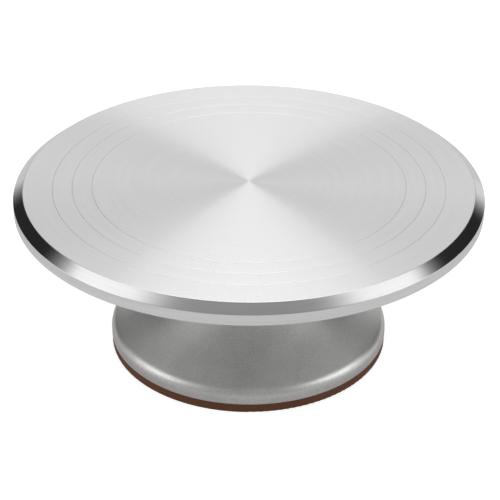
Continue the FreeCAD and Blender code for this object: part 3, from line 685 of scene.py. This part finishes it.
class OBJECT_OT_turntable_spindle(bpy.types.Operator):
    """Makes the hub under the plate, its screws, the ground spindle and the spacer round it"""

    bl_idname = "object.turntable_spindle"
    bl_label = "Spindle"

    def execute(self, context):
        size = context.scene.turntable_spindle
        steel = turned_metal("ground_steel", tuple(size.steel))
        self.make_hub(size, context.scene.turntable_plate.tint)
        self.make_spindle(size, steel)
        self.make_spacer(steel)
        self.make_screws(size)
        return {"FINISHED"}

    def make_hub(self, size, tint):
        radius, bottom, top = round_extent("spindle_hub")
        journal = round_extent("spindle")[0]
        flange = bottom + size.nose_length
        flange_top = flange + size.flange_thickness
        head_hole = size.head_radius + size.screw_gap
        screw_hole = size.screw_radius + size.screw_gap
        stub_top = bottom + size.socket_depth + size.stub_length + size.stub_gap
        corners = [
            (journal, bottom),
            (size.nose_radius, bottom, 0.4 * MM),
            (size.nose_radius, flange, 1.5 * MM),
            (radius, flange, 0.8 * MM),
            (radius, flange_top, 0.4 * MM),
            (size.spigot_radius, flange_top),
            (size.spigot_radius, top, 0.4 * MM),
            (head_hole, top),
            (head_hole, top - size.head_height),
            (screw_hole, top - size.head_height),
            (screw_hole, stub_top),
            (size.stub_radius, stub_top),
            (size.stub_radius, bottom + size.socket_depth),
            (journal, bottom + size.socket_depth),
        ]
        heads, shanks = bmesh.new(), bmesh.new()
        for x, y, _ in round_places(size.screws, size.screw_circle):
            cylinder(heads, head_hole, flange - OVERRUN, flange + size.head_height, x, y, 48)
            cylinder(shanks, screw_hole, flange - OVERRUN, flange_top + OVERRUN, x, y)
        bm = cut_away(cut_away(spin_round(profile(corners), 144), heads), shanks)
        metal = turned_metal("hub_turned", tuple(tint))
        finish_piece(bm, "spindle_hub_turned", "turntable", ["spindle_hub"], [metal])

    def make_spindle(self, size, steel):
        radius, bottom, top = round_extent("spindle")
        shoulder = top - size.stub_length
        tapped = top - size.tapped_depth
        corners = [
            (0.0, bottom),
            (radius - size.tip_chamfer, bottom, 0.4 * MM),
            (radius, bottom + size.tip_chamfer, 0.4 * MM),
            (radius, shoulder, 0.2 * MM),
            (size.stub_radius, shoulder),
            (size.stub_radius, top, 0.3 * MM),
            (size.screw_radius, top),
            (size.screw_radius, tapped),
            (0.0, tapped - size.screw_radius / 2.0),
        ]
        bm = spin_round(profile(corners), 96)
        finish_piece(bm, "spindle_ground", "turntable", ["spindle"], [steel])

    def make_spacer(self, steel):
        outer, bottom, top = round_extent("bearing_spacer")
        inner = round_extent("spindle")[0] + SPACER_GAP
        edge = 0.3 * MM
        corners = [(inner, bottom, edge), (outer, bottom, edge), (outer, top, edge), (inner, top, edge)]
        bm = spin_round(profile(corners), 96)
        finish_piece(bm, "bearing_spacer_ground", "rotor", ["bearing_spacer"], [steel])

    def make_screws(self, size):
        zinc = grained("zinc_plated", tuple(size.zinc))
        _, bottom, top = round_extent("hub_screws")
        together = bmesh.new()
        for x, y, turn in round_places(size.screws, size.screw_circle):
            screw = self.screw(size, top - bottom)
            place = Matrix.Translation((x, y, bottom)) @ Matrix.Rotation(turn, 4, "Z")
            bmesh.ops.transform(screw, matrix=place, verts=screw.verts[:])
            join(together, screw)
        finish_piece(together, "hub_screws_plated", "turntable", ["hub_screws"], [zinc])
        _, bottom, top = round_extent("spindle_screw")
        screw = self.screw(size, top - bottom)
        place = Matrix.Translation((0.0, 0.0, top)) @ Matrix.Rotation(math.pi, 4, "X")
        bmesh.ops.transform(screw, matrix=place, verts=screw.verts[:])
        finish_piece(screw, "spindle_screw_plated", "turntable", ["spindle_screw"], [zinc])

    def screw(self, size, reach):
        """A low-head screw whose head's end face is at zero and whose thread points up."""
        corners = [
            (0.0, 0.0),
            (size.head_radius, 0.0, 0.5 * MM),
            (size.head_radius, size.head_height, 0.2 * MM),
            (size.screw_radius, size.head_height),
        ]
        ridges = int((reach - size.head_height) / size.thread_pitch) - 1
        root = size.screw_radius - size.thread_depth
        for i in range(ridges):
            start = size.head_height + size.thread_pitch * (i + 0.5)
            corners += [(size.screw_radius, start), (root, start + size.thread_pitch / 2.0)]
        corners += [
            (size.screw_radius, reach - size.thread_pitch),
            (root, reach),
            (0.0, reach),
        ]
        socket = bmesh.new()
        corner_radius = size.key_size / 2.0 / math.cos(math.radians(30.0))
        cylinder(socket, corner_radius, -OVERRUN, size.key_depth, segments=6)
        return cut_away(spin_round(profile(corners), 48), socket)


class OBJECT_OT_turntable_bearings(bpy.types.Operator):
    """Makes both ball bearings, ring by ring, and the retaining rings that hold them"""

    bl_idname = "object.turntable_bearings"
    bl_label = "Bearings"

    def execute(self, context):
        size = context.scene.turntable_bearings
        steel = turned_metal("bearing_ring_ground", tuple(size.polished))
        polished = grained("ball_polished", tuple(size.polished))
        zinc = grained("shield_pressed", tuple(context.scene.turntable_spindle.zinc))
        nylon = grained("nylon_moulded", tuple(size.nylon))
        spring = grained("spring_blackened", tuple(size.spring))
        for level in ("upper", "lower"):
            self.make_inner_ring(size, level, steel)
            self.make_outer_ring(size, level, steel)
            self.make_balls(size, level, polished)
            self.make_cage(size, level, nylon)
            self.make_shields(size, level, zinc)
            smooth_copy(f"{level}_circlip_spring", f"{level}_circlip", "base", spring)
        return {"FINISHED"}

    def pitch_radius(self, size):
        return (size.inner_shoulder + size.outer_shoulder) / 2.0

    def race(self, size, shoulder, way):
        """Half a ball groove's width at a shoulder, and the radius where its outline's corner lies."""
        rest = size.ball_radius + size.race_gap - size.race_radius
        centre = self.pitch_radius(size) + way * rest
        half_angle = math.acos(abs(shoulder - centre) / size.race_radius)
        half_width = size.race_radius * math.sin(half_angle)
        deepest = centre + way * size.race_radius / math.cos(half_angle)
        return half_width, deepest

    def make_inner_ring(self, size, level, steel):
        node = f"{level}_bearing_inner_ring"
        _, bottom, top = round_extent(node)
        middle = (bottom + top) / 2.0
        bore = round_extent("spindle")[0] + BORE_GAP
        edge = size.ring_edge
        half_width, deepest = self.race(size, size.inner_shoulder, -1.0)
        corners = [
            (bore, bottom, edge),
            (size.inner_shoulder, bottom, 0.3 * MM),
            (size.inner_shoulder, middle - half_width),
            (deepest, middle, size.race_radius),
            (size.inner_shoulder, middle + half_width),
            (size.inner_shoulder, top, 0.3 * MM),
            (bore, top, edge),
        ]
        bm = spin_round(profile(corners), 96)
        finish_piece(bm, f"{node}_ground", "rotor", [node], [steel])

    def make_outer_ring(self, size, level, steel):
        node = f"{level}_bearing_outer_ring"
        wall, bottom, top = round_extent(node)
        middle = (bottom + top) / 2.0
        seat = size.outer_shoulder + size.shield_seat
        edge = size.ring_edge
        half_width, deepest = self.race(size, size.outer_shoulder, 1.0)
        corners = [
            (wall, bottom, edge),
            (seat, bottom, 0.15 * MM),
            (seat, bottom + size.shield_depth),
            (size.outer_shoulder, bottom + size.shield_depth),
            (size.outer_shoulder, middle - half_width),
            (deepest, middle, size.race_radius),
            (size.outer_shoulder, middle + half_width),
            (size.outer_shoulder, top - size.shield_depth),
            (seat, top - size.shield_depth),
            (seat, top, 0.15 * MM),
            (wall, top, edge),
        ]
        bm = spin_round(profile(corners), 128)
        finish_piece(bm, f"{node}_ground", "base", [node], [steel])

    def make_balls(self, size, level, steel):
        node = f"{level}_bearing_balls"
        _, bottom, top = round_extent(node)
        middle = (bottom + top) / 2.0
        bm = bmesh.new()
        for x, y, _ in round_places(size.balls, self.pitch_radius(size)):
            bmesh.ops.create_icosphere(
                bm, subdivisions=4, radius=size.ball_radius, matrix=Matrix.Translation((x, y, middle))
            )
        finish_piece(bm, f"{node}_polished", f"{level}_cage", [node], [steel], even=False)

    def make_cage(self, size, level, nylon):
        node = f"{level}_bearing_cage"
        _, bottom, top = round_extent(node)
        middle = (bottom + top) / 2.0
        pitch = self.pitch_radius(size)
        inner, outer = pitch - size.cage_thickness / 2.0, pitch + size.cage_thickness / 2.0
        edge = 0.35 * MM
        corners = [(inner, bottom, edge), (outer, bottom, edge), (outer, top, edge), (inner, top, edge)]
        windows = bmesh.new()
        for x, y, turn in round_places(size.balls, pitch):
            window = bmesh.new()
            cylinder(window, size.window_radius, -size.cage_thickness, size.cage_thickness, segments=48)
            place = (
                Matrix.Translation((x, y, middle))
                @ Matrix.Rotation(turn, 4, "Z")
                @ Matrix.Rotation(math.radians(90.0), 4, "Y")
            )
            bmesh.ops.transform(window, matrix=place, verts=window.verts[:])
            join(windows, window)
        bm = cut_away(spin_round(profile(corners), 128), windows)
        finish_piece(bm, f"{node}_moulded", f"{level}_cage", [node], [nylon], even=False)

    def make_shields(self, size, level, zinc):
        """Two pressed shields, each with a shallow channel, one the mirror image of the other."""
        node = f"{level}_bearing_shields"
        _, bottom, upper_face = round_extent(node)
        middle = (bottom + upper_face) / 2.0
        top = upper_face - middle
        under = top - size.shield_sheet
        inner = size.inner_shoulder + size.shield_gap
        outer = size.outer_shoulder + size.shield_seat
        step_in, step_out = inner + 0.6 * MM, outer - 1.1 * MM
        dish, slope = size.shield_dish, 0.3 * MM
        soft = 0.15 * MM
        corners = [
            (outer, under),
            (outer, top, soft),
            (step_out, top, soft),
            (step_out - slope, top - dish, soft),
            (step_in + slope, top - dish, soft),
            (step_in, top, soft),
            (inner, top, soft),
            (inner, under),
            (step_in, under, soft),
            (step_in + slope, under - dish, soft),
            (step_out - slope, under - dish, soft),
            (step_out, under, soft),
        ]
        bm = spin_round(profile(corners), 96)
        copied = bmesh.ops.duplicate(bm, geom=bm.verts[:] + bm.edges[:] + bm.faces[:])["geom"]
        mirrored = [part for part in copied if isinstance(part, bmesh.types.BMVert)]
        bmesh.ops.scale(bm, vec=(1.0, 1.0, -1.0), verts=mirrored)
        bmesh.ops.translate(bm, vec=(0.0, 0.0, middle), verts=bm.verts[:])
        bmesh.ops.recalc_face_normals(bm, faces=bm.faces[:])
        finish_piece(bm, f"{node}_pressed", "base", [node], [zinc])


class OBJECT_OT_turntable_studio(bpy.types.Operator):
    """Makes the pale floor, the soft surrounding light and the camera"""

    bl_idname = "object.turntable_studio"
    bl_label = "Studio"

    def execute(self, context):
        make_floor()
        make_lamp(context.scene)
        make_surroundings(context.scene)
        make_camera(context.scene)
        context.scene.view_settings.view_transform = "Standard"
        return {"FINISHED"}


def make_floor():
    """A pale floor that glows a little, and lets a camera under it see the object through it."""
    bm = bmesh.new()
    below = Matrix.Translation((0.0, 0.0, -FLOOR_GAP))
    bmesh.ops.create_grid(bm, x_segments=1, y_segments=1, size=FLOOR_SIZE / 2.0, matrix=below)
    mesh = bpy.data.meshes.new("floor")
    bm.to_mesh(mesh)
    bm.free()
    material, tree, shader = new_material("pale_floor")
    shader.inputs["Base Color"].default_value = grey(FLOOR_GREY)
    shader.inputs["Roughness"].default_value = 0.9
    shader.inputs["Specular IOR Level"].default_value = 0.1
    shader.inputs["Emission Color"].default_value = grey(1.0)
    seen = add(tree, "ShaderNodeLightPath").outputs["Is Camera Ray"]
    glow = maths(tree, "MULTIPLY_ADD", seen, FLOOR_SEEN_GLOW, FLOOR_GLOW)
    tree.links.new(glow, shader.inputs["Emission Strength"])
    behind = add(tree, "ShaderNodeNewGeometry").outputs["Backfacing"]
    clear = add(tree, "ShaderNodeBsdfTransparent").outputs[0]
    either = add(tree, "ShaderNodeMixShader", {0: behind, 1: shader.outputs[0], 2: clear}).outputs[0]
    tree.links.new(either, tree.nodes["Material Output"].inputs["Surface"])
    mesh.materials.append(material)
    floor = bpy.data.objects.new("floor", mesh)
    bpy.context.scene.collection.objects.link(floor)


def direction(azimuth, elevation):
    """A unit vector at an azimuth from +Y towards +X and an elevation, in degrees."""
    turn, rise = math.radians(azimuth), math.radians(elevation)
    return (math.sin(turn) * math.cos(rise), math.cos(turn) * math.cos(rise), math.sin(rise))


def round_patch(tree, way, azimuth, elevation, inner, outer):
    """A mask that is 1 within an angle of a direction and falls to 0 at a wider one."""
    facing = vector_maths(tree, "DOT_PRODUCT", way, direction(azimuth, elevation))
    return stretch(tree, facing, math.cos(math.radians(outer)), math.cos(math.radians(inner)))


def make_lamp(scene):
    """A broad round lamp high behind the object, which gives the turned face its bright fans."""
    lamp = bpy.data.lights.new("overhead_lamp", "SUN")
    lamp.angle = math.radians(LAMP_SPREAD)
    lamp.energy = LAMP_STRENGTH
    holder = bpy.data.objects.new("overhead_lamp", lamp)
    scene.collection.objects.link(holder)
    holder.rotation_euler = Vector(direction(0.0, LAMP_ELEVATION)).to_track_quat("Z", "Y").to_euler()


def grey(level):
    """A grey of one level, as a colour."""
    return (level, level, level, 1.0)


def with_patches(tree, light, way, patches):
    """Puts round patches of other levels over the light, one after another."""
    for azimuth, elevation, inner, outer, level in patches:
        patch = round_patch(tree, way, azimuth, elevation, inner, outer)
        light = mix_colours(tree, patch, light, grey(level))
    return light


def make_surroundings(scene):
    """Soft light all round: ceiling, wall, dull front, dark cards behind and small lamps at the sides."""
    world = bpy.data.worlds.new("studio")
    world.use_nodes = True
    scene.world = world
    tree = world.node_tree
    tree.nodes.clear()
    way = vector_maths(tree, "NORMALIZE", add(tree, "ShaderNodeTexCoord").outputs["Generated"])
    parts = add(tree, "ShaderNodeSeparateXYZ", {0: way}).outputs
    ceiling = stretch(tree, parts["Z"], *CEILING_EDGE)
    light = mix_colours(tree, ceiling, grey(WALL_LIGHT), grey(CEILING_LIGHT))
    light = with_patches(tree, light, way, HIGH_PATCHES)
    front = stretch(tree, parts["Y"], *FRONT_EDGE, 1.0, 0.0)
    light = mix_colours(tree, front, light, grey(FRONT_LIGHT))
    light = with_patches(tree, light, way, SIDE_PATCHES)
    seen = add(tree, "ShaderNodeLightPath").outputs["Is Camera Ray"]
    colour_seen = mix_colours(tree, seen, light, grey(1.0))
    background = add(tree, "ShaderNodeBackground", {"Color": colour_seen, "Strength": 1.0})
    output = add(tree, "ShaderNodeOutputWorld")
    tree.links.new(background.outputs[0], output.inputs["Surface"])


def make_camera(scene):
    """A long lens that looks down at the turntable from the front."""
    size = scene.turntable_studio
    camera = bpy.data.cameras.new("camera")
    camera.lens = size.lens
    camera.sensor_width = 36.0
    holder = bpy.data.objects.new("camera", camera)
    scene.collection.objects.link(holder)
    forward = Vector((0.0, math.cos(size.elevation), -math.sin(size.elevation)))
    up = Vector((0.0, math.sin(size.elevation), math.cos(size.elevation)))
    right = Vector((1.0, 0.0, 0.0))
    turned_right = right * math.cos(size.roll) - up * math.sin(size.roll)
    turned_up = right * math.sin(size.roll) + up * math.cos(size.roll)
    target = Vector((size.target_side, 0.0, size.target_height))
    axes = Matrix((turned_right, turned_up, -forward)).transposed().to_4x4()
    holder.matrix_world = Matrix.Translation(target - forward * size.distance) @ axes
    scene.camera = holder


OPERATORS = [
    OBJECT_OT_turntable_plate,
    OBJECT_OT_turntable_stand,
    OBJECT_OT_turntable_spindle,
    OBJECT_OT_turntable_bearings,
    OBJECT_OT_turntable_studio,
]


class VIEW3D_PT_turntable(bpy.types.Panel):
    """Lists the pieces and the studio"""

    bl_label = "Cake Turntable"
    bl_idname = "VIEW3D_PT_turntable"
    bl_space_type = "VIEW_3D"
    bl_region_type = "UI"
    bl_category = "Turntable"

    def draw(self, context):
        for operator in OPERATORS:
            self.layout.operator(operator.bl_idname)


SETTINGS = {
    "turntable_plate": TurntablePlateSettings,
    "turntable_stand": TurntableStandSettings,
    "turntable_spindle": TurntableSpindleSettings,
    "turntable_bearings": TurntableBearingSettings,
    "turntable_studio": TurntableStudioSettings,
}


def register():
    for group in SETTINGS.values():
        bpy.utils.register_class(group)
    for name, group in SETTINGS.items():
        setattr(bpy.types.Scene, name, PointerProperty(type=group))
    for operator in OPERATORS:
        bpy.utils.register_class(operator)
    bpy.utils.register_class(VIEW3D_PT_turntable)


def unregister():
    bpy.utils.unregister_class(VIEW3D_PT_turntable)
    for operator in reversed(OPERATORS):
        bpy.utils.unregister_class(operator)
    for name, group in SETTINGS.items():
        delattr(bpy.types.Scene, name)
        bpy.utils.unregister_class(group)


def main():
    register()
    bpy.ops.object.turntable_plate()
    bpy.ops.object.turntable_stand()
    bpy.ops.object.turntable_spindle()
    bpy.ops.object.turntable_bearings()
    bpy.ops.object.turntable_studio()


if __name__ == "__main__":
    main()
